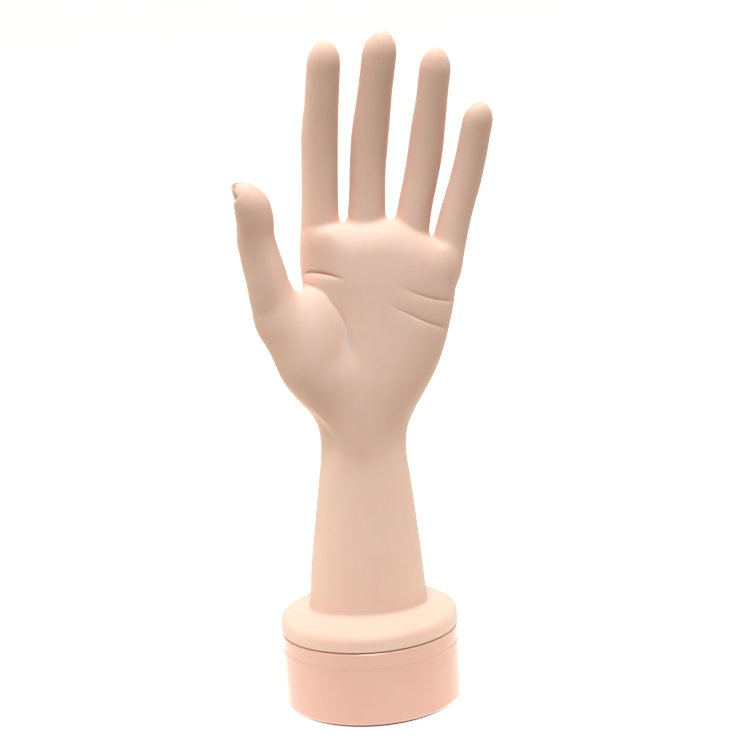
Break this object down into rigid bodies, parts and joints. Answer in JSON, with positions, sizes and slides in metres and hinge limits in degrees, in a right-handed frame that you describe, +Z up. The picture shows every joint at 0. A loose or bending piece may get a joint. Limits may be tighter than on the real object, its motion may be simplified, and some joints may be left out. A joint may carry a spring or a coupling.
{
  "type": "mannequin display hand",
  "caption": "Life-size soft vinyl left hand with forearm stub and round flange, turning on and lifting off a weighted round stand.",
  "frame": {"origin": "centre of the stand's underside, on the pad", "axes": "+Z up along the forearm, -Y out of the palm, +X towards the little finger"},
  "size_m": [0.1135, 0.081, 0.3013],
  "materials": {
    "soft_vinyl": "matte soft vinyl, skin colour",
    "nail_vinyl": "satin vinyl",
    "foam": "rigid foam",
    "socket_plastic": "moulded white plastic",
    "dark_nylon": "brown nylon",
    "gloss_pink": "glossy pink plastic",
    "gloss_pink_lid": "glossy pink plastic",
    "iron": "cast",
    "zinc_steel": "zinc plated",
    "ring_rubber": "rubber",
    "pad_rubber": "foam rubber"
  },
  "bodies": {
    "base": {"foot_pad": "pad_rubber", "base_cup": "gloss_pink", "base_lid": "gloss_pink_lid", "ballast_plate": "iron", "ballast_screws": "zinc_steel", "lid_screws": "zinc_steel", "friction_ring": "ring_rubber"},
    "turntable": {"turn_ring": "dark_nylon"},
    "hand": {"hand_skin": "soft_vinyl", "hand_core": "foam", "socket_cup": "socket_plastic", "thumb_nail": "nail_vinyl", "index_nail": "nail_vinyl", "middle_nail": "nail_vinyl", "ring_nail": "nail_vinyl", "little_nail": "nail_vinyl"}
  },
  "joints": [
    {"name": "hand_turn", "type": "hinge", "parent": "base", "child": "turntable", "pos_m": [0, 0, 0.035], "axis": [0, 0, 1], "continuous": true},
    {"name": "hand_lift", "type": "slide", "parent": "turntable", "child": "hand", "axis": [0, 0, 1], "range_m": [0, 0.025]}
  ]
}
